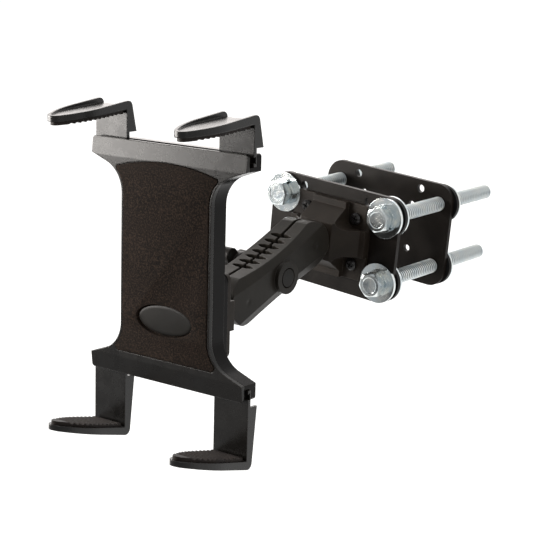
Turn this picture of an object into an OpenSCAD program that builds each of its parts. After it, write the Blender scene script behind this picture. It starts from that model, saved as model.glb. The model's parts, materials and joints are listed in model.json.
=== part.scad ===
// Pillar tablet mount: a two-plate pillar clamp, a double-socket arm and a spring cradle for a tablet.
// All sizes are in millimetres. The origin is the centre of the front plate's pillar face.
// X points to the right, Y into the pillar and Z up.

/* [Clamp plates] */
// Clear distance between the two plates
clamp_gap = 58; // [20:1:100]
// Width of both plates
plate_w = 98; // [94:1:116]
// Height of both plates
plate_h = 68.5; // [66:0.5:84]
// Thickness of both plates
plate_t = 3; // [2:0.25:5]
// Corner radius of both plates
plate_corner_r = 11; // [4:0.5:12]
// Distance of the bolts from the side edges
bolt_edge_x = 10; // [9:0.5:13]
// Distance of the bolts from the top and bottom edges
bolt_edge_z = 13.25; // [10:0.25:15]

/* [Clamp bolts] */
// Thread diameter of the four long bolts
bolt_d = 9.53; // [8:0.01:10]
// Length of the bolts under the head
bolt_len = 127; // [120:1:152]
// Size of the hex heads across flats
head_af = 14.29; // [13:0.01:16]
// Height of the hex heads
head_h = 6.2; // [4:0.1:8]
// Outer diameter of the flat washers and the sealing washers
washer_od = 25.4; // [20:0.1:26]
// Thickness of the flat washers
washer_t = 2; // [1:0.1:3]
// Thickness of the spring lock washers
lock_t = 2.4; // [1.5:0.1:3]
// Thickness of the rubber sealing rings
seal_t = 2.8; // [1.5:0.1:4]
// Thickness of the steel washers on the sealing rings
seal_cap_t = 1.5; // [0.8:0.1:2]

/* [Ball bases] */
// Width of the moulded ball base
base_w = 58; // [54:1:62]
// Height of the moulded ball base
base_h = 49; // [45:1:52]
// Height of the clamp's ball base above the plate centre
base_z = 1.5; // [0:0.5:3]
// Distance from the clamp plate to its ball centre
ball_reach = 35.5; // [35.5:0.5:46]
// Distance from the cradle's mount to its ball centre
cradle_ball_reach = 39.5; // [35.5:0.5:46]
// Diameter of both balls
ball_d = 25.4; // [23:0.1:25.4]
// Diameter of the ball studs' necks
neck_d = 11.5; // [9:0.5:12]

/* [Arm] */
// Distance between the two ball centres
arm_len = 68; // [60:1:100]
// Turn of the arm about the clamp ball's stud
arm_swivel = -4.1; // [-30:0.1:30]
// Slope of the arm down towards the cradle
arm_tilt = 19.3; // [-20:0.1:28]
// Number of slots across the ribbed spine
spine_slots = 7; // [3:1:7]

/* [Cradle] */
// Slope of the cradle against the arm
cradle_tilt = -20.9; // [-28:0.1:20]
// Turn of the cradle about its stud
cradle_spin = -1.4; // [-45:0.1:45]
// Width across the crossbars
cradle_w = 113; // [108:1:130]
// Height over both crossbars
cradle_h = 136; // [134:1:160]
// Width of the waist
waist_w = 66; // [62:1:72]
// Thickness of the front cover
cover_t = 2.75; // [2.5:0.25:3.5]
// Overall depth of the cradle without its mount
cradle_t = 12.8; // [12.4:0.1:16]
// Distance of the cradle's mount below its centre
mount_drop = 27.8; // [20:0.1:30]

/* [Legs] */
// Height of the upper legs above the crossbar
upper_leg_len = 21.5; // [18:0.5:40]
// Height of the lower legs below the crossbar
lower_leg_len = 40; // [18:0.5:60]
// Width of the legs and feet
leg_w = 24; // [20:0.5:25]
// Reach of the feet in front of the cover
foot_reach = 43; // [38:0.5:50]
// Inward slope of the upper feet
upper_foot_slope = 7; // [3:0.5:14]
// Inward slope of the lower feet
lower_foot_slope = 14; // [3:0.5:14]

/* [Hidden] */
$fn = 64;

// Overshoot of every cutting body
over = 1;
// Gap between pieces that move against each other
part_gap = 0.3;
// Radial clearance of rods and studs in their bores
slide_clear = 0.08;
// Clearance on the diameter of fixed holes
hole_clear = 0.5;

// Bolts
bolt_x = plate_w / 2 - bolt_edge_x;
bolt_z = plate_h / 2 - bolt_edge_z;
bolt_hole_d = bolt_d + hole_clear;
tapped_hole_d = bolt_d + 2 * slide_clear;
bolt_tip = 1.2;
head_turns = [8, 22, 38, 14];
head_face = 0.95;
dish_d = 8;
dish_depth = 0.5;
lock_od = 17.3;
lock_slit = 1.5;
slit_turns = [-60, 35, 140, 75];
under_head_y = -plate_t - washer_t - lock_t;

// Screw holes in both plates, tapped in the front one and clear in the rear one
screw_dx = 38;
screw_dz = 30;
screw_d = 4;
screw_hole_d = screw_d + 0.1;
clear_hole_d = screw_d + hole_clear;
extra_dx = 49.5;
extra_z = 28.3;
extra_d = 5.2;

// Ball bases
base_r = 4;
flange_t = 6;
pocket_floor = 2.5;
pocket_r = 6.4;
pyramid_top = 18.5;
pyramid_tip = 24;
collar_d = 16;
collar_t = 1.5;
stud_bore_floor = 4;
screw_head_d = 7.4;
screw_head_t = 2.4;
screw_len = 4;
recess_l = 4.2;
recess_w = 0.9;
recess_depth = 1.3;

// Arm halves
arm_end_r = 15;
arm_half_w = 12.5;
arm_bow = 1.2;
arm_hollow = 1.5;
arm_dip = 2.5;
arm_split = 2.2;
spine_edge = 9.5;
hollow_r = (pow(arm_len / 2, 2) + pow(arm_hollow, 2)) / (2 * arm_hollow);
dip_r = (pow(arm_len / 2, 2) + pow(arm_dip, 2)) / (2 * arm_dip);
bow_r = (pow(arm_len / 2 + arm_end_r, 2) + pow(arm_bow, 2)) / (2 * arm_bow);
neck_swing = 30;
neck_gap = 0.5;
neck_open = 8;
slot_w = 3.6;
slot_tip_w = 1.2;
slot_reach = 7.8;
slot_depth = 4;
slot_pitch = 6.4;
pivot_z = -2.5;
boss_r = 10;
boss_end = 16.5;
cap_d = 11;
cap_seat_d = 12.4;
cap_t = 5.5;
pin_d = 6;
pin_hole_d = pin_d + 0.4;
knob_washer_d = 18;
knob_washer_t = 1.5;
knob_t = 13;
knob_hub_d = 20;
knob_lobes = 3;
knob_lobe_r = 5;
knob_reach = 12;
knob_rest_turn = 95.6;
knob_cap_t = 2.5;
knob_foot = 2;
knob_crown = 0.8;

// Cradle shape
bar_end_h = 9.3;
bar_slope = 20;
side_r = 18;
corner_r = 1.8;
shell_wall = 2.2;
shell_back_t = 2.2;
bevel_h = 10;
bevel_t = 1.2;
boss_t = 8;
boss_r2 = 5;
cradle_reach = cradle_t + boss_t + cradle_ball_reach;

// Grip pad
pad_w = 74;
pad_waist_w = 62.6;
pad_top = 57.8;
pad_bottom = -54;
pad_arch_r = 139;
pad_side_r = 18;
pad_side_z = 38;
pad_corner_r = 2.4;
pad_t = 1.6;
pad_seat = 1.2;
pad_gap = 0.4;
badge_l = 40;
badge_h = 17;
badge_tip_r = 5.5;
badge_rim = 1.2;
badge_t = 0.5;
badge_z = -31.4;

// Sliders and legs
slider_y = cover_t + part_gap;
slider_t = 1.5;
leg_y = slider_y + slider_t + part_gap;
web_t = 2.2;
shell_y = leg_y + web_t + part_gap;
rail_t = 1.7;
rail_neck = 1;
rail_head = 1.7;
rail_fit = 0.33;
stem_t = shell_y - slider_y - part_gap;
stem_x = 3;
stem_w = 18;
stem_len = 72;
rib_w = 2.2;
bar_z = cradle_h / 2;
slider_low = bar_z - bar_end_h + shell_wall + part_gap;
slider_high = bar_z - 0.8;
rail_z = slider_high - rail_head - 0.5;
leg_out = 1.2;
leg_x = cradle_w / 2 - leg_w / 2 + leg_out;
flange_w = 1.8;
flange_start = 3.4;
flange_deep = 8;
flange_slim = 4.6;
foot_root_t = 4.8;
foot_tip_t = 3.4;
foot_rim_low = 0.5;
foot_start = 15;
foot_tip_r = 5.5;
bend_r = 3.5;
foot_taper = (foot_root_t - foot_tip_t) / (leg_y + foot_reach);
foot_pad_t = 2.2;
foot_pad_inset = 1.6;
rib_pitch = 3.3;
rib_depth = 1.1;
rib_count = 11;

// Colours
black_steel = [0.08, 0.08, 0.09];
zinc = [0.75, 0.77, 0.80];
rubber = [0.05, 0.05, 0.05];
black_plastic = [0.10, 0.10, 0.10];
grey_plastic = [0.16, 0.16, 0.17];

// Points on an arc about [cx, cz]
function arc(cx, cz, r, from, to, steps) = [
    for (i = [0:steps])
        let (a = from + (to - from) * i / steps)
            [cx + r * cos(a), cz + r * sin(a)]
];

// The same points mirrored, and the same points in reverse order
function mirrored(points, sx, sz) = [for (p = points) [sx * p[0], sz * p[1]]];
function reversed(points) = [for (i = [len(points) - 1:-1:0]) points[i]];

// Outline in X and Z, drawn from Y = 0 to Y = t
module ext_y(t) {
    rotate([90, 0, 0])
        translate([0, 0, -t])
            linear_extrude(height = t)
                children();
}

// Outline in Y and Z, drawn from X = 0 to X = t
module ext_x(t) {
    rotate([90, 0, 90])
        linear_extrude(height = t)
            children();
}

module cyl_y(d, t) {
    rotate([-90, 0, 0])
        cylinder(d = d, h = t);
}

module cyl_x(d, t) {
    rotate([0, 90, 0])
        cylinder(d = d, h = t);
}

module rounded(w, h, r) {
    square([w - 2 * r, h], center = true);
    square([w, h - 2 * r], center = true);
    for (sx = [-1, 1])
        for (sz = [-1, 1])
            translate([sx * (w / 2 - r), sz * (h / 2 - r)])
                circle(r = r);
}

// Places where the pieces sit

module at_bolts() {
    for (i = [0:3])
        translate([(i % 2 == 0 ? -1 : 1) * bolt_x, 0, (i < 2 ? 1 : -1) * bolt_z])
            children();
}

module at_screws() {
    for (sx = [-1, 1])
        for (sz = [-1, 1])
            translate([sx * screw_dx / 2, 0, sz * screw_dz / 2])
                children();
}

module at_clamp_ball() {
    translate([0, -plate_t - ball_reach, base_z])
        rotate([0, arm_swivel, 0])
            children();
}

module at_arm() {
    at_clamp_ball()
        rotate([arm_tilt, 0, 0])
            children();
}

module at_cradle_ball() {
    at_arm()
        translate([0, -arm_len, 0])
            rotate([cradle_tilt, 0, 0])
                rotate([0, cradle_spin, 0])
                    children();
}

module at_cradle() {
    at_cradle_ball()
        translate([0, -cradle_reach, mount_drop])
            children();
}

// Pillar clamp

module plate(hole_d, small_hole_d) {
    difference() {
        ext_y(plate_t)
            rounded(plate_w, plate_h, plate_corner_r);
        at_bolts()
            translate([0, -over, 0])
                cyl_y(hole_d, plate_t + 2 * over);
        translate([0, 0, base_z])
            at_screws()
                translate([0, -over, 0])
                    cyl_y(small_hole_d, plate_t + 2 * over);
        for (sx = [-1, 1])
            translate([sx * extra_dx / 2, -over, extra_z])
                cyl_y(extra_d, plate_t + 2 * over);
    }
}

module clamp_front_plate() {
    color(black_steel)
        translate([0, -plate_t, 0])
            plate(bolt_hole_d, screw_hole_d);
}

module clamp_rear_plate() {
    color(black_steel)
        translate([0, clamp_gap, 0])
            plate(tapped_hole_d, clear_hole_d);
}

module ring(od, id, t) {
    difference() {
        cyl_y(od, t);
        translate([0, -over, 0])
            cyl_y(id, t + 2 * over);
    }
}

module hex_head() {
    face_r = head_af / 2 * head_face;
    difference() {
        intersection() {
            cylinder(d = head_af / cos(30), h = head_h, $fn = 6);
            cylinder(r1 = face_r + head_h * sqrt(3), r2 = face_r, h = head_h);
        }
        translate([0, 0, head_h - dish_depth])
            cylinder(d1 = dish_d - 2 * dish_depth, d2 = dish_d + 2 * dish_depth, h = 2 * dish_depth);
    }
}

module clamp_bolt(turn) {
    translate([0, under_head_y, 0]) {
        rotate([90, 0, 0])
            rotate([0, 0, turn])
                hex_head();
        cyl_y(bolt_d, bolt_len - bolt_tip);
        translate([0, bolt_len - bolt_tip, 0])
            rotate([-90, 0, 0])
                cylinder(d1 = bolt_d, d2 = bolt_d - 2 * bolt_tip, h = bolt_tip);
    }
}

module clamp_bolts() {
    color(zinc)
        for (i = [0:3])
            translate([(i % 2 == 0 ? -1 : 1) * bolt_x, 0, (i < 2 ? 1 : -1) * bolt_z])
                clamp_bolt(head_turns[i]);
}

module lock_washers() {
    color(zinc)
        for (i = [0:3])
            translate([(i % 2 == 0 ? -1 : 1) * bolt_x, under_head_y, (i < 2 ? 1 : -1) * bolt_z])
                difference() {
                    ring(lock_od, bolt_d + hole_clear, lock_t);
                    rotate([0, slit_turns[i], 0])
                        translate([0, -over, -lock_slit / 2])
                            cube([lock_od, lock_t + 2 * over, lock_slit]);
                }
}

module flat_washers() {
    color(zinc)
        at_bolts()
            translate([0, -plate_t - washer_t, 0])
                ring(washer_od, bolt_d + 2 * hole_clear, washer_t);
}

module front_seals() {
    color(rubber)
        at_bolts()
            ring(washer_od, tapped_hole_d, seal_t);
}

module front_seal_washers() {
    color(zinc)
        at_bolts()
            translate([0, seal_t, 0])
                ring(washer_od, tapped_hole_d, seal_cap_t);
}

module rear_seals() {
    color(rubber)
        at_bolts()
            translate([0, clamp_gap + plate_t, 0])
                ring(washer_od, tapped_hole_d, seal_t);
}

module rear_seal_washers() {
    color(zinc)
        at_bolts()
            translate([0, clamp_gap + plate_t + seal_t, 0])
                ring(washer_od, tapped_hole_d, seal_cap_t);
}

// Ball base, screws and ball stud, drawn on a wall at Y = 0 and pointing to -Y

module base_pockets() {
    for (sx = [-1, 1])
        for (sz = [-1, 1])
            translate([sx * screw_dx / 2, -pyramid_top - over, sz * screw_dz / 2]) {
                deep = pyramid_top + over - pocket_floor;
                cyl_y(2 * pocket_r, deep);
                translate([sx > 0 ? 0 : -base_w, 0, sz > 0 ? -pocket_r : -base_h])
                    cube([base_w, deep, base_h + pocket_r]);
                translate([sx > 0 ? -pocket_r : -base_w, 0, sz > 0 ? 0 : -base_h])
                    cube([base_w + pocket_r, deep, base_h]);
            }
}

module ball_base() {
    difference() {
        union() {
            translate([0, -flange_t, 0])
                ext_y(flange_t)
                    rounded(base_w, base_h, base_r);
            intersection() {
                translate([0, 0, -base_h / 2])
                    linear_extrude(height = base_h)
                        polygon([
                            [-base_w / 2 + base_r, -flange_t + over],
                            [-base_w / 2 + base_r, -flange_t],
                            [-pyramid_tip / 2, -pyramid_top],
                            [pyramid_tip / 2, -pyramid_top],
                            [base_w / 2 - base_r, -flange_t],
                            [base_w / 2 - base_r, -flange_t + over]
                        ]);
                translate([-base_w / 2, 0, 0])
                    ext_x(base_w)
                        polygon([
                            [-flange_t + over, -base_h / 2 + base_r],
                            [-flange_t, -base_h / 2 + base_r],
                            [-pyramid_top, -pyramid_tip / 2],
                            [-pyramid_top, pyramid_tip / 2],
                            [-flange_t, base_h / 2 - base_r],
                            [-flange_t + over, base_h / 2 - base_r]
                        ]);
            }
            translate([0, -pyramid_top - collar_t, 0])
                cyl_y(collar_d, collar_t + over);
        }
        base_pockets();
        at_screws()
            translate([0, -flange_t, 0])
                cyl_y(screw_hole_d, flange_t + over);
        translate([0, -pyramid_top - collar_t - over, 0])
            cyl_y(neck_d + 2 * slide_clear, pyramid_top + collar_t + over - stud_bore_floor);
    }
}

module base_screw() {
    difference() {
        union() {
            translate([0, -pocket_floor - screw_head_t * 0.6, 0])
                cyl_y(screw_head_d, screw_head_t * 0.6);
            translate([0, -pocket_floor - screw_head_t * 0.6, 0])
                rotate([90, 0, 0])
                    cylinder(d1 = screw_head_d, d2 = screw_head_d * 0.7, h = screw_head_t * 0.4);
            translate([0, -pocket_floor, 0])
                cyl_y(screw_d, screw_len);
        }
        for (turn = [0, 90])
            rotate([0, turn + 20, 0])
                translate([-recess_l / 2, -pocket_floor - screw_head_t - over, -recess_w / 2])
                    cube([recess_l, recess_depth + over, recess_w]);
    }
}

module ball_stud(reach) {
    translate([0, -reach, 0])
        cyl_y(neck_d, reach - stud_bore_floor - part_gap);
    translate([0, -reach, 0])
        sphere(d = ball_d);
}

module at_clamp_base() {
    translate([0, -plate_t, base_z])
        children();
}

module clamp_ball_base() {
    color(grey_plastic)
        difference() {
            at_clamp_base()
                ball_base();
            at_bolts()
                translate([0, -plate_t - flange_t - over, 0])
                    cyl_y(washer_od + 2 * part_gap, flange_t + over);
        }
}

module clamp_base_screws() {
    color(black_steel)
        at_clamp_base()
            at_screws()
                base_screw();
}

module clamp_ball_stud() {
    color(grey_plastic)
        at_clamp_base()
            ball_stud(ball_reach);
}

// Arm

// Side view: two round ends, a dipped spine and a slightly hollow lower edge
module arm_side() {
    dip_turn = asin(arm_len / 2 / dip_r);
    hollow_turn = asin(arm_len / 2 / hollow_r);
    hollow_z = arm_hollow - arm_end_r - hollow_r;
    polygon(concat(
        arc(0, 0, arm_end_r, -90, 90, 30),
        arc(-arm_len / 2, arm_end_r - arm_dip + dip_r, dip_r, dip_turn - 90.5, -dip_turn - 89.5, 16),
        arc(-arm_len, 0, arm_end_r, 90, 270, 30),
        arc(-arm_len / 2, hollow_z, hollow_r, hollow_turn + 89.5, 90.5 - hollow_turn, 16)
    ));
}

// Top view of one half, bowed outwards along its length
module arm_plan() {
    bow_turn = asin((arm_len / 2 + arm_end_r) / bow_r);
    polygon(concat(
        [[arm_split / 2, over], [arm_split / 2, -arm_len - over]],
        [[arm_split / 2, -arm_len - arm_end_r - over]],
        arc(arm_half_w + arm_bow - bow_r, -arm_len / 2, bow_r, -bow_turn, bow_turn, 20),
        [[arm_split / 2, arm_end_r + over]]
    ));
}

// Sweep of the stud's neck through the end of the arm
module neck_sweep() {
    half = neck_d / 2 + neck_gap;
    far = 2 * arm_end_r;
    low = [-half * sin(neck_swing), half * cos(neck_swing)];
    high = [low[0] + far * cos(neck_swing), low[1] + far * sin(neck_swing)];
    polygon([
        [low[0], -low[1]],
        [high[0], -high[1]],
        [high[0], high[1]],
        [low[0], low[1]]
    ]);
}

// One slot across the spine, wide at the split and narrow at its tip
module spine_slot() {
    linear_extrude(height = slot_depth + arm_dip + over)
        polygon([
            [-over, -slot_w / 2],
            [slot_reach / 2, -slot_w / 2],
            [slot_reach, -slot_tip_w / 2],
            [slot_reach, slot_tip_w / 2],
            [slot_reach / 2, slot_w / 2],
            [-over, slot_w / 2]
        ]);
}

// Half of the arm on the +X side, in the frame of the clamp ball
module arm_half() {
    side_top = arm_end_r + over;
    side_low = -arm_end_r - over;
    slots_start = -arm_len / 2 - (spine_slots - 1) / 2 * slot_pitch;
    difference() {
        union() {
            intersection() {
                ext_x(arm_half_w + 2 * arm_bow + over)
                    arm_side();
                translate([0, 0, side_low])
                    linear_extrude(height = side_top - side_low)
                        arm_plan();
                translate([0, -arm_len - arm_end_r - over, 0])
                    ext_y(arm_len + 2 * arm_end_r + 2 * over)
                        polygon([
                            [0, side_top],
                            [spine_edge - 0.6 * over, side_top],
                            [arm_half_w + 2 * arm_bow, 6],
                            [arm_half_w + 2 * arm_bow, -5],
                            [9.5, side_low],
                            [0, side_low]
                        ]);
            }
            translate([arm_split / 2, -arm_len / 2, pivot_z])
                cyl_x(2 * boss_r, boss_end - arm_split / 2);
        }
        sphere(d = ball_d + 2 * part_gap);
        translate([0, -arm_len, 0])
            sphere(d = ball_d + 2 * part_gap);
        translate([-over, 0, 0])
            ext_x(neck_open + over)
                neck_sweep();
        translate([-over, -arm_len, 0])
            ext_x(neck_open + over)
                rotate([0, 0, 180])
                    neck_sweep();
        for (i = [0:spine_slots - 1])
            translate([0, slots_start + i * slot_pitch, arm_end_r - arm_dip - slot_depth])
                spine_slot();
        translate([-over, -arm_len / 2, pivot_z])
            cyl_x(pin_hole_d, boss_end + 2 * over);
        translate([boss_end - cap_t, -arm_len / 2, pivot_z])
            cyl_x(cap_seat_d, cap_t + over);
    }
}

module arm_near_half() {
    color(grey_plastic)
        at_arm()
            arm_half();
}

module arm_far_half() {
    color(grey_plastic)
        at_arm()
            translate([0, -arm_len, 0])
                rotate([0, 0, 180])
                    arm_half();
}

module arm_bolt() {
    pin_from = boss_end + knob_washer_t + knob_t - knob_cap_t - part_gap;
    color(black_steel)
        at_arm()
            translate([0, -arm_len / 2, pivot_z]) {
                translate([boss_end - cap_t, 0, 0])
                    cyl_x(cap_d, cap_t);
                translate([-pin_from, 0, 0])
                    cyl_x(pin_d, pin_from + boss_end - cap_t + over);
            }
}

module arm_washer() {
    color(zinc)
        at_arm()
            translate([-boss_end - knob_washer_t, -arm_len / 2, pivot_z])
                difference() {
                    cyl_x(knob_washer_d, knob_washer_t);
                    translate([-over, 0, 0])
                        cyl_x(pin_hole_d, knob_washer_t + 2 * over);
                }
}

// Outline of the knob's lobes, with the valleys between them inside the hub
module knob_outline() {
    half_step = 180 / knob_lobes;
    valley = knob_lobe_r / sin(half_step);
    polygon([
        for (i = [0:knob_lobes - 1])
            let (a = 2 * i * half_step)
                each concat(
                    arc(knob_reach * cos(a), knob_reach * sin(a), knob_lobe_r, a - 90, a + 90, 16),
                    [[valley * cos(a + half_step), valley * sin(a + half_step)]]
                )
    ]);
}

module arm_knob() {
    color(black_plastic)
        at_arm()
            translate([-boss_end - knob_washer_t - part_gap, -arm_len / 2, pivot_z])
                rotate([0, -90, 0])
                    difference() {
                        union() {
                            cylinder(d = knob_hub_d, h = knob_t);
                            rotate([0, 0, knob_rest_turn])
                                translate([0, 0, knob_foot])
                                    linear_extrude(height = knob_t - knob_foot - knob_crown)
                                        knob_outline();
                        }
                        translate([0, 0, -over])
                            cylinder(d = pin_d + 2 * slide_clear, h = knob_t - knob_cap_t + over);
                    }
}

// Cradle, drawn with the centre of the cover's front face at the origin and its back towards +Y

module at_cradle_mount() {
    translate([0, cradle_t + boss_t, -mount_drop])
        rotate([0, 0, 180])
            children();
}

module cradle_ball_base() {
    color(grey_plastic)
        at_cradle()
            at_cradle_mount()
                ball_base();
}

module cradle_base_screws() {
    color(black_steel)
        at_cradle()
            at_cradle_mount()
                at_screws()
                    base_screw();
}

module cradle_ball_stud() {
    color(grey_plastic)
        at_cradle()
            at_cradle_mount()
                ball_stud(cradle_ball_reach);
}

// Hourglass outline, drawn inwards by g along its concave sides only
module hourglass(g, end_x, end_z) {
    waist = waist_w / 2 - g;
    low = cradle_h / 2 - bar_end_h + g / cos(bar_slope);
    meet = low - (cradle_w / 2 - waist) * tan(bar_slope);
    bend = side_r + g;
    rest = bend * tan(45 - bar_slope / 2);
    edge = low + (end_x - cradle_w / 2) * tan(bar_slope);
    quarter = concat(
        [[end_x, end_z], [end_x, edge]],
        arc(waist + bend, meet - rest, bend, 90 + bar_slope, 180, 14)
    );
    polygon(concat(
        quarter,
        reversed(mirrored(quarter, 1, -1)),
        mirrored(quarter, -1, -1),
        reversed(mirrored(quarter, -1, 1))
    ));
}

// Hourglass with its four outer corners rounded
module rounded_hourglass() {
    intersection() {
        hourglass(0, cradle_w / 2, cradle_h / 2);
        rounded(cradle_w, cradle_h, corner_r);
    }
}

// Ribs that guide the stems of the two sliders
module housing_ribs() {
    rib_x = stem_x + stem_w + part_gap;
    translate([-stem_x + part_gap, 0, -stem_len / 2])
        cube([2 * (stem_x - part_gap), cradle_t, stem_len]);
    for (side = [-rib_x - rib_w, rib_x])
        translate([side, 0, -stem_len / 2])
            cube([rib_w, cradle_t, stem_len]);
}

module back_housing() {
    inner_x = cradle_w / 2 - shell_wall;
    inner_z = cradle_h / 2 - shell_wall;
    color(black_plastic)
        at_cradle()
            difference() {
                union() {
                    translate([0, cover_t, 0])
                        ext_y(cradle_t - cover_t)
                            rounded_hourglass();
                    translate([0, cradle_t - over, -mount_drop])
                        ext_y(boss_t + over)
                            rounded(base_w, base_h, boss_r2);
                }
                difference() {
                    union() {
                        translate([0, cover_t - over, 0])
                            ext_y(shell_y - cover_t + over)
                                hourglass(shell_wall, cradle_w / 2 + over, cradle_h / 2 + over);
                        translate([0, shell_y - over, 0])
                            ext_y(cradle_t - shell_back_t - shell_y + over)
                                hourglass(shell_wall + 0.5, inner_x, inner_z);
                    }
                    housing_ribs();
                }
                at_cradle_mount()
                    at_screws()
                        translate([0, -over, 0])
                            cyl_y(screw_hole_d, screw_len + over);
            }
}

module pad_outline(g) {
    half = pad_w / 2 + g;
    side_x = pad_waist_w / 2 + pad_side_r;
    side = pad_side_r - g;
    arch = pad_arch_r + g;
    corner = pad_corner_r + g;
    flare = acos((side_x - half) / side);
    right_side = concat(
        arc(half - corner, pad_bottom - g + corner, corner, -90, 0, 6),
        arc(side_x, -pad_side_z, side, 180 + flare, 180, 10),
        arc(side_x, pad_side_z, side, 180, 180 - flare, 10),
        arc(0, pad_top - pad_arch_r, arch, 90 - asin(half / arch), 89.5, 10)
    );
    polygon(concat(right_side, reversed(mirrored(right_side, -1, 1))));
}

module front_cover() {
    color(black_plastic)
        at_cradle()
            difference() {
                ext_y(cover_t)
                    rounded_hourglass();
                translate([0, -over, 0])
                    ext_y(pad_seat + over)
                        pad_outline(pad_gap);
                for (turn = [0, 180])
                    rotate([0, turn, 0])
                        translate([-cradle_w / 2 - over, 0, cradle_h / 2])
                            ext_x(cradle_w + 2 * over)
                                polygon([
                                    [-over, -bevel_h],
                                    [0, -bevel_h],
                                    [bevel_t, over],
                                    [-over, over]
                                ]);
            }
}

// Oval made of four arcs
module oval(l, h, r) {
    side = (pow(l / 2 - r, 2) + pow(h / 2, 2) - pow(r, 2)) / (2 * (h / 2 - r));
    turn = acos((l / 2 - r) / (side - r));
    upper = concat(arc(l / 2 - r, 0, r, 0, turn, 5), arc(0, h / 2 - side, side, turn + 2, 90, 8));
    half = concat(upper, reversed(mirrored([for (i = [0:len(upper) - 2]) upper[i]], -1, 1)));
    polygon(concat(half, reversed(mirrored([for (i = [1:len(half) - 2]) half[i]], 1, -1))));
}

module grip_pad() {
    color(rubber)
        at_cradle()
            difference() {
                union() {
                    translate([0, pad_seat - pad_t, 0])
                        ext_y(pad_t)
                            pad_outline(0);
                    translate([0, pad_seat - pad_t - badge_t, badge_z])
                        ext_y(badge_t + over)
                            oval(badge_l, badge_h, badge_tip_r);
                }
                translate([0, pad_seat - pad_t - badge_t - over, badge_z])
                    ext_y(badge_t + over)
                        oval(badge_l - 2 * badge_rim, badge_h - 2 * badge_rim, badge_tip_r - badge_rim);
            }
}

// Slider for the upper legs; the lower one is the same piece turned round
module slider() {
    translate([-cradle_w / 2 + over, slider_y, slider_low])
        cube([cradle_w - 2 * over, slider_t, slider_high - slider_low]);
    translate([-cradle_w / 2 + over, slider_y + slider_t, rail_z])
        ext_x(cradle_w - 2 * over)
            polygon([
                [-over, -rail_neck],
                [0, -rail_neck],
                [rail_t, -rail_head],
                [rail_t, rail_head],
                [0, rail_neck],
                [-over, rail_neck]
            ]);
    translate([stem_x, slider_y, slider_low - stem_len])
        cube([stem_w, stem_t, stem_len]);
}

module upper_slider() {
    color(black_plastic)
        at_cradle()
            slider();
}

module lower_slider() {
    color(black_plastic)
        at_cradle()
            rotate([0, 180, 0])
                slider();
}

// Foot outline in X and Y, drawn inwards by g
module tongue(g) {
    w = leg_w / 2 - g;
    r = foot_tip_r - g;
    run = foot_reach - foot_start - foot_tip_r;
    side = (w * w + run * run - r * r) / (2 * (w - r));
    turn = asin(run / (side - r));
    left_side = concat(
        [[-w, cradle_t + 2 * over]],
        arc(side - w, -foot_start, side, 180, 180 + turn, 12),
        arc(0, -foot_start - run, r, 182 + turn, 268, 8)
    );
    polygon(concat(left_side, reversed(mirrored(left_side, -1, 1))));
}

// Leg on the upper crossbar: a channel bent forward into a rimmed foot that gets thinner towards its tip
module leg(len, slope) {
    rise = tan(slope);
    inner = len - foot_root_t - flange_slim * rise;
    bend_y = leg_y + flange_slim - bend_r;
    bend_z = inner + foot_root_t + (bend_y - leg_y) * rise - bend_r / cos(slope);
    tip = -foot_reach - over;
    tip_top = inner + foot_root_t - (leg_y - tip) * rise;
    root = slider_low + part_gap - bar_z;
    difference() {
        intersection() {
            translate([-leg_w / 2, 0, bar_z])
                ext_x(leg_w)
                    polygon(concat(
                        [
                            [leg_y, root],
                            [leg_y, inner],
                            [tip, inner - (leg_y - tip) * (rise - foot_taper)],
                            [tip, tip_top]
                        ],
                        arc(bend_y, bend_z, bend_r, 90 + slope, 5, 8),
                        [
                            [leg_y + flange_deep, flange_start],
                            [leg_y + web_t, flange_start],
                            [leg_y + web_t, root]
                        ]
                    ));
            translate([0, 0, bar_z - bar_end_h])
                linear_extrude(height = bar_end_h + len + over)
                    tongue(0);
        }
        intersection() {
            translate([-leg_w / 2 + flange_w, 0, bar_z])
                ext_x(leg_w - 2 * flange_w)
                    polygon([
                        [leg_y + web_t, flange_start - over],
                        [leg_y + web_t, inner + web_t],
                        [tip, tip_top - foot_rim_low],
                        [tip, len + over],
                        [leg_y + flange_deep + over, len + over],
                        [leg_y + flange_deep + over, flange_start - over]
                    ]);
            translate([0, 0, bar_z - bar_end_h])
                linear_extrude(height = bar_end_h + len + 2 * over)
                    tongue(flange_w);
        }
        translate([-leg_w / 2 - over, slider_y + slider_t, rail_z])
            ext_x(leg_w + 2 * over)
                polygon([
                    [0, -rail_neck - rail_fit],
                    [rail_t + part_gap, -rail_head - 1.5 * rail_fit],
                    [rail_t + part_gap, rail_head + 1.5 * rail_fit],
                    [0, rail_neck + rail_fit]
                ]);
    }
}

// Ribbed rubber pad on the gripping side of a foot
module foot_pad(len, slope) {
    rise = tan(slope) - foot_taper;
    inner = len - foot_root_t - flange_slim * tan(slope);
    tip = -foot_reach - over;
    tip_z = inner - (leg_y - tip) * rise;
    root = leg_y - foot_pad_inset;
    root_z = inner - foot_pad_inset * rise;
    difference() {
        intersection() {
            translate([-leg_w / 2, 0, bar_z])
                ext_x(leg_w)
                    polygon([
                        [root, root_z],
                        [tip, tip_z],
                        [tip, tip_z - foot_pad_t],
                        [root, root_z - foot_pad_t]
                    ]);
            translate([0, 0, bar_z - foot_reach])
                linear_extrude(height = foot_reach + len)
                    tongue(foot_pad_inset);
        }
        for (i = [0:rib_count - 1])
            translate([-leg_w / 2, root, bar_z + root_z - foot_pad_t])
                translate([0, -(i + 1) * rib_pitch, -(i + 1) * rib_pitch * rise])
                    ext_x(leg_w)
                        polygon([
                            [-rib_pitch * 0.8, -over],
                            [rib_pitch * 0.8, -over],
                            [0, rib_depth]
                        ]);
    }
}

module upper_left_leg() {
    color(black_plastic)
        at_cradle()
            translate([-leg_x, 0, 0])
                leg(upper_leg_len, upper_foot_slope);
}

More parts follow.
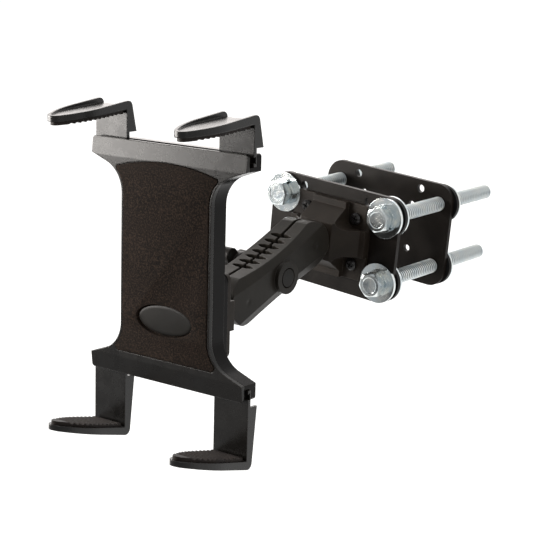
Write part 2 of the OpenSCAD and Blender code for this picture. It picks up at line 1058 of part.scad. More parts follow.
module upper_right_leg() {
    color(black_plastic)
        at_cradle()
            translate([leg_x, 0, 0])
                leg(upper_leg_len, upper_foot_slope);
}

module lower_left_leg() {
    color(black_plastic)
        at_cradle()
            rotate([0, 180, 0])
                translate([leg_x, 0, 0])
                    leg(lower_leg_len, lower_foot_slope);
}

module lower_right_leg() {
    color(black_plastic)
        at_cradle()
            rotate([0, 180, 0])
                translate([-leg_x, 0, 0])
                    leg(lower_leg_len, lower_foot_slope);
}

module upper_left_foot_pad() {
    color(rubber)
        at_cradle()
            translate([-leg_x, 0, 0])
                foot_pad(upper_leg_len, upper_foot_slope);
}

module upper_right_foot_pad() {
    color(rubber)
        at_cradle()
            translate([leg_x, 0, 0])
                foot_pad(upper_leg_len, upper_foot_slope);
}

module lower_left_foot_pad() {
    color(rubber)
        at_cradle()
            rotate([0, 180, 0])
                translate([leg_x, 0, 0])
                    foot_pad(lower_leg_len, lower_foot_slope);
}

module lower_right_foot_pad() {
    color(rubber)
        at_cradle()
            rotate([0, 180, 0])
                translate([-leg_x, 0, 0])
                    foot_pad(lower_leg_len, lower_foot_slope);
}

clamp_front_plate();
clamp_rear_plate();
clamp_bolts();
lock_washers();
flat_washers();
front_seals();
front_seal_washers();
rear_seals();
rear_seal_washers();
clamp_ball_base();
clamp_base_screws();
clamp_ball_stud();
arm_near_half();
arm_far_half();
arm_bolt();
arm_washer();
arm_knob();
cradle_ball_stud();
cradle_ball_base();
cradle_base_screws();
back_housing();
front_cover();
grip_pad();
upper_slider();
lower_slider();
upper_left_leg();
upper_right_leg();
lower_left_leg();
lower_right_leg();
upper_left_foot_pad();
upper_right_foot_pad();
lower_left_foot_pad();
lower_right_foot_pad();
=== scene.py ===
import json
import math

import bpy
from mathutils import Matrix, Vector


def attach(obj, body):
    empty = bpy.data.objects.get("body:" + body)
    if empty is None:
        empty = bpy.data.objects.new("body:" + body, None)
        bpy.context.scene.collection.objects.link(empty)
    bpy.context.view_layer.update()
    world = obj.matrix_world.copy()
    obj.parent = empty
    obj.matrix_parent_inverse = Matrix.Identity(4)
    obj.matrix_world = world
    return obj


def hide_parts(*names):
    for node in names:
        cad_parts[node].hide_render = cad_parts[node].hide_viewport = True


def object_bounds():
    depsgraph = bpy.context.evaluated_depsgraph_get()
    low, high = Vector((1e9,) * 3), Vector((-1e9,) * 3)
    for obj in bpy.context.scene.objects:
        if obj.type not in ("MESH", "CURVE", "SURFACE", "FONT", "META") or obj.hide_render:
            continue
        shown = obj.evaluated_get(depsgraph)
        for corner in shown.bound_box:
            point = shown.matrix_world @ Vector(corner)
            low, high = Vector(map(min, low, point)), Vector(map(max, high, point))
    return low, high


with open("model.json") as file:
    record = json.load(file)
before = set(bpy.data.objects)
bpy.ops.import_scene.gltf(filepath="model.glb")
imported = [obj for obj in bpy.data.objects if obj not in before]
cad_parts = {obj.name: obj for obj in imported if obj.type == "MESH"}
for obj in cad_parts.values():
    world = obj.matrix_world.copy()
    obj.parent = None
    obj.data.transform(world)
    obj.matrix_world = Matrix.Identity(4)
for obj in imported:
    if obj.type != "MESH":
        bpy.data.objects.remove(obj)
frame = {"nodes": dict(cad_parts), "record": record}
nodes = frame["nodes"]
record = frame["record"]
cad_box = [list(corner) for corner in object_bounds()]
scene = bpy.context.scene
MM = 0.001

# Clamp bolts in mm: 3/8 inch by 5 inches, heads at the front
BOLT_D = 9.53
# The real thread has 16 turns to the inch, too fine to show, so 12 are drawn at the real depth
PITCH = 25.4 / 12
THREAD_DEPTH = 0.613 * 25.4 / 16
UNDER_HEAD = -7.4
BOLT_LEN = 127.0
BOLT_TIP = 1.2
HEAD_AF = 14.29
HEAD_H = 6.2
# The turn of each head in degrees, top left, top right, bottom left and bottom right, from a flat at the top.
# A hexagon is made with a corner there, so it is turned by 30 degrees more
HEAD_TURN = [8, 22, 38, 14]
HEAD_FLAT_UP = 30
BOLT_X = 39.0
BOLT_Z = 21.0
# Facets round the shank and the head, and a full turn of the thread
TURNED_STEPS = 40
HEAD_STEPS = 48
THREAD_STEPS = 28

# Sizes of the materials' patterns in mm
FLOW_CLOUD = 24
HAND_PATCH = 9
ZINC_PATCH = 6
DRAWN_MARK = 0.8
POWDER_CLOUD = 15
ORANGE_PEEL = 1.1
PAD_CLOUD = 13
PAD_PORE = 0.9
RUBBER_BLOOM = 6
RUBBER_GRAIN = 0.5

# Colours of the painted highlight on rounded edges, the painted shade in the thread's grooves and the dust in
# pores, and the gloss of wear
EDGE_HIGHLIGHT = "3a342f"
THREAD_GROOVE_SHADE = "222a28"
PORE_DUST = "30261f"
# How much rougher a bolt's shank is than its head
SHANK_DULLER = 0.2


# Materials

def linear(code):
    """An sRGB hex colour as linear RGBA."""
    values = [int(code[i:i + 2], 16) / 255 for i in (0, 2, 4)]
    return (*[v / 12.92 if v <= 0.04045 else ((v + 0.055) / 1.055) ** 2.4 for v in values], 1.0)


def add_node(tree, kind, values=None, stops=(), **settings):
    """Adds a shader node with its settings. A value is a number to set or a socket to link, and stops are the
    places and colours of a ramp. Inputs 1 to 4 of a Map Range are its From and To limits, and 0, 6 and 7 of a
    Mix are its factor and its two colours."""
    node = tree.nodes.new("ShaderNode" + kind)
    for name, setting in settings.items():
        setattr(node, name, setting)
    for key, value in (values or {}).items():
        if isinstance(value, bpy.types.NodeSocket):
            tree.links.new(value, node.inputs[key])
        else:
            node.inputs[key].default_value = value
    for i, (place, code) in enumerate(stops):
        stop = node.color_ramp.elements[i] if i < 2 else node.color_ramp.elements.new(place)
        stop.position = place
        stop.color = linear(code)
    return node


def blank(name, colour="000000", **values):
    """A new material with its shader's own values set, its nodes and its shader. Underscores in a value's
    name stand for spaces."""
    material = bpy.data.materials.new(name)
    material.use_nodes = True
    shader = material.node_tree.nodes["Principled BSDF"]
    shader.inputs["Base Color"].default_value = linear(colour)
    for key, value in values.items():
        shader.inputs[key.replace("_", " ")].default_value = value
    return material, material.node_tree, shader


def moulded(name, dark, light, rough, grain, deep, edge, gloss=0.12):
    """Black thermoplastic from a mould: flow clouds in its colour, handled patches in its gloss, eroded grain
    of the given size and depth in mm, and a painted highlight that makes its rounded edges a little lighter.
    Black oxide on steel is made the same way, with finer grain and sharper edges."""
    material, tree, shader = blank(name, Specular_IOR_Level=gloss)
    place = add_node(tree, "TexCoord").outputs["Object"]
    flow = add_node(tree, "TexNoise", {"Vector": place, "Scale": 1 / (FLOW_CLOUD * MM),
                                       "Detail": 4.0, "Distortion": 0.5})
    body = add_node(tree, "ValToRGB", {"Fac": flow.outputs["Fac"]}, [(0.3, dark), (0.72, light)])
    soft = add_node(tree, "Bevel", {"Radius": edge * MM}, samples=4).outputs["Normal"]
    sharp = add_node(tree, "NewGeometry").outputs["Normal"]
    # Painted highlight: where the bevelled normal turns away from the face's, the colour is mixed towards a
    # lighter one
    bent = add_node(tree, "VectorMath", {0: soft, 1: sharp}, operation="DOT_PRODUCT").outputs["Value"]
    edge_highlight_mask = add_node(tree, "MapRange", {"Value": bent, 1: 0.995, 2: 0.86, 3: 0.0, 4: 0.3}).outputs["Result"]
    adjusted = add_node(tree, "Mix", {0: edge_highlight_mask, 6: body.outputs["Color"], 7: linear(EDGE_HIGHLIGHT)},
                    data_type="RGBA")
    tree.links.new(adjusted.outputs[2], shader.inputs["Base Color"])
    hands = add_node(tree, "TexNoise", {"Vector": place, "Scale": 1 / (HAND_PATCH * MM),
                                        "Detail": 5.0, "Roughness": 0.65})
    satin = add_node(tree, "MapRange", {"Value": hands.outputs["Fac"], 1: 0.25, 2: 0.8,
                                        3: rough - 0.05, 4: rough + 0.08})
    tree.links.new(satin.outputs["Result"], shader.inputs["Roughness"])
    pits = add_node(tree, "TexNoise", {"Vector": place, "Scale": 1 / (grain * MM), "Detail": 2.0})
    skin = add_node(tree, "Bump", {"Height": pits.outputs["Fac"], "Distance": deep * MM, "Normal": soft})
    tree.links.new(skin.outputs["Normal"], shader.inputs["Normal"])
    return material


def shank_groove_shade(tree, place):
    """Where painted shade darkens the grooves of the thread, and where the shank is, each from 0 to 1. The
    radius is taken from the nearest bolt's axis, and the pattern is the same on all four."""
    crest = BOLT_D / 2
    folded = add_node(tree, "VectorMath", {0: place}, operation="ABSOLUTE").outputs["Vector"]
    centred = add_node(tree, "VectorMath", {0: folded, 1: (BOLT_X * MM, 0, BOLT_Z * MM)},
                       operation="SUBTRACT")
    across = add_node(tree, "VectorMath", {0: centred.outputs["Vector"], 1: (1, 0, 1)},
                      operation="MULTIPLY")
    radius = add_node(tree, "VectorMath", {0: across.outputs["Vector"]}, operation="LENGTH")
    # Painted shade: strongest at the thread's roots, fading to none just below the crests
    groove = add_node(tree, "MapRange", {"Value": radius.outputs["Value"],
                                         1: (crest - 0.6 * THREAD_DEPTH) * MM,
                                         2: (crest - 0.1 * THREAD_DEPTH) * MM, 3: 0.95, 4: 0.0})
    along = add_node(tree, "SeparateXYZ", {"Vector": place}).outputs["Y"]
    shank = add_node(tree, "Math", {0: along, 1: (UNDER_HEAD + BOLT_LEN / 2) * MM,
                                    2: (BOLT_LEN / 2 - 0.4) * MM}, operation="COMPARE").outputs["Value"]
    groove_shade = add_node(tree, "Math", {0: groove.outputs["Result"], 1: shank}, operation="MULTIPLY")
    return groove_shade.outputs["Value"], shank


def zinc_plating(name, rough, threaded):
    """Bright zinc plate on steel: blue-white with faint yellow patches and drawn marks. On the shank of a
    bolt, painted shade darkens the grooves of the thread, and the rolled crests are duller than the head."""
    material, tree, shader = blank(name, Metallic=1.0)
    place = add_node(tree, "TexCoord").outputs["Object"]
    patch = add_node(tree, "TexNoise", {"Vector": place, "Scale": 1 / (ZINC_PATCH * MM),
                                        "Detail": 3.0, "Distortion": 0.6})
    plate = add_node(tree, "ValToRGB", {"Fac": patch.outputs["Fac"]}, [(0.3, "cad4d9"), (0.72, "e4e6e2")])
    colour = plate.outputs["Color"]
    dull = add_node(tree, "MapRange", {"Value": patch.outputs["Fac"], 1: 0.3, 2: 0.75,
                                       3: rough - 0.03, 4: rough + 0.06})
    satin = dull.outputs["Result"]
    marks = add_node(tree, "TexNoise", {"Vector": place, "Scale": 1 / (DRAWN_MARK * MM), "Detail": 2.0})
    skin = add_node(tree, "Bump", {"Height": marks.outputs["Fac"], "Distance": 0.004 * MM})
    if threaded:
        groove_shade, shank = shank_groove_shade(tree, place)
        adjusted = add_node(tree, "Math", {0: shank, 1: SHANK_DULLER, 2: satin}, operation="MULTIPLY_ADD")
        satin = adjusted.outputs["Value"]
        # The grooves are mixed towards a dark colour as painted shade
        groove_shaded = add_node(tree, "Mix", {0: groove_shade, 6: colour, 7: linear(THREAD_GROOVE_SHADE)}, data_type="RGBA")
        colour = groove_shaded.outputs[2]
    else:
        soft = add_node(tree, "Bevel", {"Radius": 0.2 * MM}, samples=4).outputs["Normal"]
        tree.links.new(soft, skin.inputs["Normal"])
    tree.links.new(colour, shader.inputs["Base Color"])
    tree.links.new(satin, shader.inputs["Roughness"])
    tree.links.new(skin.outputs["Normal"], shader.inputs["Normal"])
    return material


def powder_coat():
    """Black polyester powder on pressed steel plate: satin, with the low swell of orange peel about 1 mm
    across."""
    material, tree, shader = blank("powder_coated_steel", Specular_IOR_Level=0.12)
    place = add_node(tree, "TexCoord").outputs["Object"]
    cloud = add_node(tree, "TexNoise", {"Vector": place, "Scale": 1 / (POWDER_CLOUD * MM), "Detail": 4.0})
    body = add_node(tree, "ValToRGB", {"Fac": cloud.outputs["Fac"]}, [(0.3, "0d0a08"), (0.75, "15110d")])
    tree.links.new(body.outputs["Color"], shader.inputs["Base Color"])
    satin = add_node(tree, "MapRange", {"Value": cloud.outputs["Fac"], 1: 0.3, 2: 0.8, 3: 0.34, 4: 0.48})
    tree.links.new(satin.outputs["Result"], shader.inputs["Roughness"])
    soft = add_node(tree, "Bevel", {"Radius": 0.4 * MM}, samples=4).outputs["Normal"]
    peel = add_node(tree, "TexNoise", {"Vector": place, "Scale": 1 / (ORANGE_PEEL * MM),
                                       "Detail": 2.0, "Roughness": 0.45})
    skin = add_node(tree, "Bump", {"Height": peel.outputs["Fac"], "Distance": 0.04 * MM, "Normal": soft})
    tree.links.new(skin.outputs["Normal"], shader.inputs["Normal"])
    return material


def pad_skin():
    """Foamed rubber sheet with a leather grain: brown-black, with pale dust in the pores. The real pores are
    about 0.3 mm, too fine to show, so they are drawn at 0.9 mm."""
    material, tree, shader = blank("grained_foam_rubber", Roughness=0.85, Specular_IOR_Level=0.05)
    place = add_node(tree, "TexCoord").outputs["Object"]
    cloud = add_node(tree, "TexNoise", {"Vector": place, "Scale": 1 / (PAD_CLOUD * MM),
                                        "Detail": 5.0, "Roughness": 0.6})
    body = add_node(tree, "ValToRGB", {"Fac": cloud.outputs["Fac"]}, [(0.3, "0c0907"), (0.7, "140f0c")])
    pores = add_node(tree, "TexNoise", {"Vector": place, "Scale": 1 / (PAD_PORE * MM),
                                        "Detail": 3.0, "Roughness": 0.7})
    dust = add_node(tree, "MapRange", {"Value": pores.outputs["Fac"], 1: 0.46, 2: 0.66, 3: 0.0, 4: 0.8})
    tone = add_node(tree, "Mix", {0: dust.outputs["Result"], 6: body.outputs["Color"], 7: linear(PORE_DUST)},
                    data_type="RGBA")
    tree.links.new(tone.outputs[2], shader.inputs["Base Color"])
    soft = add_node(tree, "Bevel", {"Radius": 0.4 * MM}, samples=4).outputs["Normal"]
    skin = add_node(tree, "Bump", {"Height": pores.outputs["Fac"], "Distance": 0.1 * MM, "Normal": soft})
    tree.links.new(skin.outputs["Normal"], shader.inputs["Normal"])
    return material


def rubber(name, dark, light, rough):
    """Solid black rubber: dull, with a slight bloom that pales it in patches of a few millimetres."""
    material, tree, shader = blank(name, Specular_IOR_Level=0.15)
    place = add_node(tree, "TexCoord").outputs["Object"]
    bloom = add_node(tree, "TexNoise", {"Vector": place, "Scale": 1 / (RUBBER_BLOOM * MM), "Detail": 4.0})
    body = add_node(tree, "ValToRGB", {"Fac": bloom.outputs["Fac"]}, [(0.3, dark), (0.8, light)])
    tree.links.new(body.outputs["Color"], shader.inputs["Base Color"])
    satin = add_node(tree, "MapRange", {"Value": bloom.outputs["Fac"], 1: 0.3, 2: 0.8,
                                        3: rough - 0.06, 4: rough + 0.1})
    tree.links.new(satin.outputs["Result"], shader.inputs["Roughness"])
    soft = add_node(tree, "Bevel", {"Radius": 0.3 * MM}, samples=4).outputs["Normal"]
    fine = add_node(tree, "TexNoise", {"Vector": place, "Scale": 1 / (RUBBER_GRAIN * MM), "Detail": 2.0})
    skin = add_node(tree, "Bump", {"Height": fine.outputs["Fac"], "Distance": 0.02 * MM, "Normal": soft})
    tree.links.new(skin.outputs["Normal"], shader.inputs["Normal"])
    return material


looks = {
    "powder_coat": powder_coat(),
    "zinc": zinc_plating("zinc_plated_washer_steel", rough=0.15, threaded=False),
    "zinc_thread": zinc_plating("zinc_plated_rolled_thread", rough=0.18, threaded=True),
    "seal_rubber": rubber("nitrile_rubber_seal", "080808", "101010", rough=0.5),
    "base_plastic": moulded("glass_filled_nylon_base", "17130f", "211c17",
                            rough=0.42, grain=0.5, deep=0.02, edge=0.6),
    "screw_steel": moulded("black_oxide_screw_steel", "0a0909", "131212",
                           rough=0.28, grain=0.3, deep=0.004, edge=0.2, gloss=0.3),
    "ball_plastic": moulded("smooth_nylon_ball", "0f0e0c", "171512",
                            rough=0.34, grain=0.4, deep=0.008, edge=0.4),
    "arm_plastic": moulded("glass_filled_nylon_arm", "161411", "1f1c18",
                           rough=0.4, grain=0.55, deep=0.025, edge=0.8),
    "cap_plastic": moulded("nylon_bolt_cap", "0c0b09", "14120f",
                           rough=0.4, grain=0.4, deep=0.015, edge=0.5),
    "knob_plastic": moulded("glass_filled_nylon_knob", "0d0b0a", "151310",
                            rough=0.42, grain=0.5, deep=0.02, edge=0.8),
    "housing_plastic": moulded("abs_housing", "060505", "0b0908",
                               rough=0.2, grain=0.4, deep=0.006, edge=0.5, gloss=0.08),
    "cover_plastic": moulded("abs_cover_satin", "070605", "0c0a08",
                             rough=0.27, grain=0.4, deep=0.005, edge=0.8, gloss=0.25),
    "pad_rubber": pad_skin(),
    "leg_plastic": moulded("abs_leg_satin", "060504", "0b0907",
                           rough=0.26, grain=0.4, deep=0.005, edge=0.8, gloss=0.36),
    "foot_rubber": rubber("ribbed_foot_rubber", "120d0b", "1f1814", rough=0.55),
}
slot_of = {part["node"]: part["material_slot"] for part in record["subparts"]}
for name, node in nodes.items():
    for item in node.material_slots:
        item.material = looks[slot_of[name]]


# Modelling helpers

def deselect_all():
    bpy.ops.object.select_all(action="DESELECT")


def pick(piece):
    """Makes one object the only selected and active one."""
    deselect_all()
    piece.select_set(True)
    bpy.context.view_layer.objects.active = piece


def edit(piece):
    """Opens one object in edit mode with everything in it selected."""
    pick(piece)
    bpy.ops.object.mode_set(mode="EDIT")
    bpy.ops.mesh.select_all(action="SELECT")


def close_edit():
    bpy.ops.mesh.select_all(action="DESELECT")
    bpy.ops.object.mode_set(mode="OBJECT")


def drawn_line(name, points):
    """One line of edges in X and Z, drawn from a single vertex that is extruded from point to point."""
    deselect_all()
    bpy.ops.mesh.primitive_plane_add(size=MM)
    line = bpy.context.object
    line.name = name
    edit(line)
    bpy.ops.mesh.merge(type="CENTER")
    last = (0.0, 0.0)
    for i, point in enumerate(points):
        step = ((point[0] - last[0]) * MM, 0, (point[1] - last[1]) * MM)
        if i == 0:
            bpy.ops.transform.translate(value=step)
        else:
            bpy.ops.mesh.extrude_vertices_move(TRANSFORM_OT_translate={"value": step})
        last = point
    close_edit()
    return line


def tidy_mesh(piece):
    """Merges doubles and points the faces outwards."""
    edit(piece)
    bpy.ops.mesh.remove_doubles(threshold=1e-6)
    bpy.ops.mesh.normals_make_consistent(inside=False)
    close_edit()


def turned(name, profile, steps):
    """A solid turned about Z from a profile of radii and heights that starts and ends on the axis."""
    piece = drawn_line(name, profile)
    edit(piece)
    bpy.ops.mesh.spin(steps=steps, angle=2 * math.pi, center=(0, 0, 0), axis=(0, 0, 1))
    close_edit()
    tidy_mesh(piece)
    return piece


def cut(piece, tool, operation):
    """Applies a boolean with a tool, which is then deleted."""
    pick(piece)
    boolean = piece.modifiers.new("cut", "BOOLEAN")
    boolean.operation = operation
    boolean.solver = "EXACT"
    boolean.object = tool
    bpy.ops.object.modifier_apply(modifier="cut")
    bpy.data.objects.remove(tool)


def finish(piece, slot, body, angle):
    """Gives a piece its finish, its body and its smooth faces, which end at edges sharper than angle."""
    pick(piece)
    bpy.ops.object.shade_smooth_by_angle(angle=math.radians(angle))
    piece.data.materials.clear()
    piece.data.materials.append(looks[slot])
    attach(piece, body)


# Clamp bolts: hex bolts with a rolled thread, which the solids leave plain

def thread_ridge():
    """The thread as one closed ridge that runs round the shank, with its foot sunk in the core."""
    below_crest = 0.02
    sunk = 0.15
    crest = BOLT_D / 2 - below_crest
    foot = BOLT_D / 2 - THREAD_DEPTH - sunk
    half_crest = 0.13 * PITCH
    half_foot = 0.49 * PITCH
    ridge = drawn_line("thread", [(foot, -half_foot), (crest, -half_crest), (crest, half_crest),
                                  (foot, half_foot), (foot, -half_foot)])
    tidy_mesh(ridge)
    sweep = ridge.modifiers.new("sweep", "SCREW")
    sweep.angle = 2 * math.pi
    sweep.screw_offset = PITCH * MM
    sweep.iterations = int((BOLT_LEN + BOLT_TIP) / PITCH) - 1
    sweep.steps = THREAD_STEPS
    sweep.render_steps = THREAD_STEPS
    pick(ridge)
    bpy.ops.object.modifier_apply(modifier="sweep")
    edit(ridge)
    bpy.ops.mesh.remove_doubles(threshold=1e-6)
    bpy.ops.mesh.select_all(action="SELECT")
    bpy.ops.mesh.fill_holes(sides=8)
    bpy.ops.mesh.select_all(action="SELECT")
    bpy.ops.mesh.normals_make_consistent(inside=False)
    bpy.ops.transform.translate(value=(0, 0, PITCH * MM))
    close_edit()
    return ridge


def hex_head():
    """A hexagon cut by a turned shape, which gives the coned corners, the washer face and the dished top."""
    flat = HEAD_AF / 2
    corner = flat / math.cos(math.radians(30))
    face = 0.95 * flat
    spare = 2
    deselect_all()
    bpy.ops.mesh.primitive_cylinder_add(vertices=6, radius=corner * MM, depth=(HEAD_H + spare) * MM,
                                        location=(0, 0, -HEAD_H / 2 * MM))
    head = bpy.context.object
    head.name = "hex_head"
    bpy.ops.object.transform_apply(location=True, rotation=True, scale=True)
    slope = math.tan(math.radians(30))
    seat = 0.97 * flat
    seat_h = 0.35
    clear = 1.2 * flat
    dish = 0.36
    outline = [(0, 0), (seat, 0), (seat, -seat_h), (clear, -seat_h - 0.23 * flat * slope),
               (clear, -HEAD_H + (clear - face) * slope), (face, -HEAD_H), (0.72 * flat, -HEAD_H),
               (0.66 * flat, -HEAD_H + 0.3), (0.3 * flat, -HEAD_H + dish), (0, -HEAD_H + dish)]
    cut(head, turned("head_outline", outline, HEAD_STEPS), "INTERSECT")
    return head


def clamp_bolt():
    """One bolt along +Z with the underside of its head at the origin."""
    crest_r = BOLT_D / 2
    core_r = crest_r - THREAD_DEPTH
    neck_r = crest_r - 0.25
    into_head = 0.5
    core_chamfer = 0.5
    core = turned("core", [(0, -into_head), (neck_r, -into_head), (neck_r, 0.9), (core_r, 1.5),
                           (core_r, BOLT_LEN - core_chamfer), (core_r - core_chamfer, BOLT_LEN),
                           (0, BOLT_LEN)], TURNED_STEPS)
    ridge = thread_ridge()
    trim_start = 0.6
    trim_r = crest_r + 0.3
    trim_end = BOLT_LEN - 0.05
    trim = turned("trim", [(0, trim_start), (crest_r - 0.6, trim_start), (trim_r, 1.8),
                           (trim_r, BOLT_LEN - BOLT_TIP - 0.3), (crest_r - BOLT_TIP, trim_end),
                           (0, trim_end)], TURNED_STEPS)
    cut(ridge, trim, "INTERSECT")
    cut(core, ridge, "UNION")
    cut(core, hex_head(), "UNION")
    return core


pattern = clamp_bolt()
for i in range(4):
    bolt = pattern.copy()
    bolt.data = pattern.data.copy()
    bolt.name = "clamp_bolt_%d" % (i + 1)
    scene.collection.objects.link(bolt)
    side = -1 if i % 2 == 0 else 1
    row = 1 if i < 2 else -1
    bolt.matrix_world = (Matrix.Translation(Vector((side * BOLT_X, UNDER_HEAD, row * BOLT_Z)) * MM)
                         @ Matrix.Rotation(-math.pi / 2, 4, "X")
                         @ Matrix.Rotation(-math.radians(HEAD_TURN[i] + HEAD_FLAT_UP), 4, "Z"))
    pick(bolt)
    bpy.ops.object.transform_apply(location=True, rotation=True, scale=True)
    finish(bolt, "zinc_thread", "clamp", angle=15)
    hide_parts("clamp_bolts")
bpy.data.objects.remove(pattern)


# Grip pad: the sheet with its soft rim, cut out round a bare oval of smooth plastic

# In mm: the well of the badge, its place below the cradle's centre, the badge's step and its gap all round
BADGE_L = 41.2
BADGE_H = 18.2
BADGE_Z = -31.4
BADGE_DEEP = 1.55
BADGE_GAP = 0.9
BADGE_THICK = 0.5
BADGE_DOME = 0.35
# The badge sits a little off the middle of its well
BADGE_OFF_X = 0.5
BADGE_OFF_Z = 0.3
# How far the tool that sinks the well stands out of the pad
WELL_PROUD = 1.5
PAD_ROUND = 0.55
# Each inset of the dome in mm, and its share of the dome's rise
DOME_STEPS = [(0.4, 0.55), (0.7, 0.3), (1.1, 0.15)]

joints = {joint["name"]: joint for joint in record["behaviour"]["joints"]}
rest_face = [mount for mount in record["mounts"] if mount["name"] == "tablet_rest"][0]
cradle_y = Vector(rest_face["axis"]).normalized() * -1
cradle_z = Vector(joints["upper_slide"]["axis"]).normalized()
cradle_x = cradle_y.cross(cradle_z)
to_cradle = (Matrix.Translation(Vector(rest_face["pos_m"]))
             @ Matrix((cradle_x, cradle_y, cradle_z)).transposed().to_4x4())


def oval(name, length, height, thick, rise, shift):
    """An oval disc in the cradle's X and Z, from its face at Y = 0 to thick behind it, with a domed face. It
    is moved by shift, in mm along the cradle's axes."""
    deselect_all()
    bpy.ops.mesh.primitive_circle_add(vertices=72, radius=0.5 * MM, fill_type="NGON")
    disc = bpy.context.object
    disc.name = name
    edit(disc)
    bpy.ops.transform.resize(value=(length, height, 1))
    bpy.ops.mesh.extrude_region_move(TRANSFORM_OT_translate={"value": (0, 0, thick * MM)})
    for inward, share in DOME_STEPS:
        bpy.ops.mesh.inset(thickness=inward * MM, depth=share * rise * MM)
    bpy.ops.mesh.select_all(action="SELECT")
    bpy.ops.mesh.normals_make_consistent(inside=False)
    close_edit()
    disc.matrix_world = (to_cradle @ Matrix.Translation((Vector(shift) + Vector((0, thick, BADGE_Z))) * MM)
                         @ Matrix.Rotation(math.pi / 2, 4, "X"))
    pick(disc)
    bpy.ops.object.transform_apply(location=True, rotation=True, scale=True)
    return disc


def grip_pad():
    """A copy of the pad's solid with the oval sunk in it and its edges rounded as moulded foam is."""
    source = nodes["grip_pad"]
    pad = source.copy()
    pad.data = source.data.copy()
    pad.name = "grip_pad_sheet"
    scene.collection.objects.link(pad)
    edit(pad)
    bpy.ops.mesh.remove_doubles(threshold=1e-6)
    bpy.ops.mesh.dissolve_limited(angle_limit=math.radians(0.5))
    close_edit()
    well = oval("well", BADGE_L, BADGE_H, BADGE_DEEP + WELL_PROUD, 0, (0, -WELL_PROUD, 0))
    cut(pad, well, "DIFFERENCE")
    rim = pad.modifiers.new("rim", "BEVEL")
    rim.width = PAD_ROUND * MM
    rim.segments = 3
    rim.limit_method = "ANGLE"
    rim.angle_limit = math.radians(50)
    pick(pad)
    bpy.ops.object.modifier_apply(modifier="rim")
    return pad


pad = grip_pad()
finish(pad, "pad_rubber", "cradle", angle=35)
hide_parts("grip_pad")
badge = oval("pad_badge", BADGE_L - 2 * BADGE_GAP, BADGE_H - 2 * BADGE_GAP, BADGE_THICK, BADGE_DOME,
             (BADGE_OFF_X, BADGE_DEEP - BADGE_THICK, BADGE_OFF_Z))
finish(badge, "cap_plastic", "cradle", angle=35)


# Floor, light and camera

# In metres: the floor lies clear of the lowest pose and ends in front of the feet, so that its light doesn't
# whiten the lower crossbar
FLOOR_DROP = 0.1
FLOOR_FRONT = 0.22
FLOOR_SIZE = 14
# How bright the room is on the camera's side and behind the object
ROOM_NEAR = 0.52
ROOM_FAR = 1.0


def studio_floor():
    """Matt white paper under and behind the object, lit from within so that no shade lies on it."""
    low = min(corner[2] for corner in cad_box) - FLOOR_DROP
    deselect_all()
    bpy.ops.mesh.primitive_plane_add(size=FLOOR_SIZE, location=(0, FLOOR_SIZE / 2 - FLOOR_FRONT, low))
    floor = bpy.context.object
    floor.name = "studio_floor"
    bpy.ops.object.transform_apply(location=True, rotation=True, scale=True)
    paper, _, _ = blank("matt_white_paper", "8a8a89", Roughness=0.9, Specular_IOR_Level=0.1,
                        Emission_Color=(1, 1, 1, 1), Emission_Strength=0.85)
    floor.data.materials.append(paper)


studio_floor()

world = bpy.data.worlds.new("studio")
world.use_nodes = True
air = world.node_tree
direction = add_node(air, "TexCoord").outputs["Generated"]
depth = add_node(air, "SeparateXYZ", {"Vector": direction}).outputs["Y"]
# White behind the object and grey on the camera's side, as in a room with one white wall
wall = add_node(air, "MapRange", {"Value": depth, 1: -0.3, 2: 0.5,
                                  3: ROOM_NEAR, 4: ROOM_FAR}).outputs["Result"]
seen = add_node(air, "LightPath").outputs["Is Camera Ray"]
level = add_node(air, "Math", {0: wall, 1: seen}, operation="MAXIMUM").outputs["Value"]
sky = air.nodes["Background"]
air.links.new(level, sky.inputs["Strength"])
sky.inputs["Color"].default_value = (1, 1, 1, 1)
scene.world = world
scene.view_settings.view_transform = "Standard"

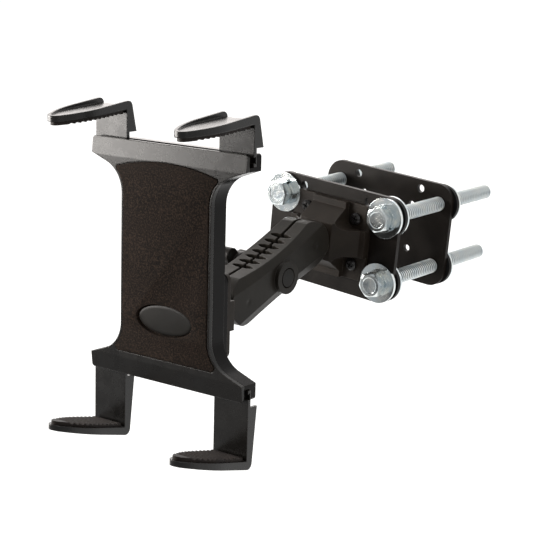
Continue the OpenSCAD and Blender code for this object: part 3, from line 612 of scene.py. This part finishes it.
# The photograph's camera, as found from the object's corners: angles in degrees, lengths in mm, and the focal
# length and the width of the picture in its own pixels
AZIMUTH, ELEVATION, ROLL = 36.58, 16.58, 5.10
TARGET = Vector((-48.52, 0.0, -35.32)) * MM
DISTANCE = 1018.93 * MM
PIXELS_FOCAL = 1535.73
PIXELS_WIDE = 540
az, el, roll = (math.radians(angle) for angle in (AZIMUTH, ELEVATION, ROLL))
back = Vector((math.sin(az) * math.cos(el), -math.cos(az) * math.cos(el), math.sin(el)))
right = (-back).cross(Vector((0, 0, 1))).normalized()
up = right.cross(-back).normalized()
camera_x = right * math.cos(roll) + up * math.sin(roll)
camera_y = -right * math.sin(roll) + up * math.cos(roll)
lens = bpy.data.cameras.new("photo_camera")
lens.sensor_width = 36.0
lens.lens = PIXELS_FOCAL / PIXELS_WIDE * lens.sensor_width
lens.clip_end = 30
camera = bpy.data.objects.new("photo_camera", lens)
camera.matrix_world = (Matrix.Translation(TARGET + back * DISTANCE)
                       @ Matrix((camera_x, camera_y, back)).transposed().to_4x4())
scene.collection.objects.link(camera)
scene.camera = camera


def softbox(name, place, aim, wide, high, radiance, colour):
    """A rectangular soft light of a given brightness and colour, which the camera doesn't see. Its place, aim
    and size are in metres."""
    light = bpy.data.lights.new(name, "AREA")
    light.shape = "RECTANGLE"
    light.size = wide
    light.size_y = high
    light.energy = radiance * math.pi * wide * high
    light.color = colour
    lamp = bpy.data.objects.new(name, light)
    lamp.location = place
    lamp.rotation_euler = (Vector(aim) - Vector(place)).to_track_quat("-Z", "Y").to_euler()
    lamp.visible_camera = False
    scene.collection.objects.link(lamp)


softbox("key_softbox", place=(-0.88, -0.59, 0.13), aim=(0, -0.16, 0.13), wide=0.8, high=0.5,
        radiance=22, colour=(1.0, 0.96, 0.92))
softbox("top_softbox", place=(0.0, 0.2, 1.5), aim=(0, -0.05, 0), wide=1.4, high=1.4,
        radiance=2.5, colour=(1.0, 1.0, 1.0))
softbox("right_softbox", place=(1.3, -0.9, 0.75), aim=(0.05, 0, 0), wide=0.5, high=0.9,
        radiance=5, colour=(1.0, 0.98, 0.96))
softbox("back_softbox", place=(-0.9, 1.15, 0.45), aim=(0, -0.1, 0.08), wide=1.6, high=0.9,
        radiance=1.9, colour=(1.0, 0.93, 0.89))
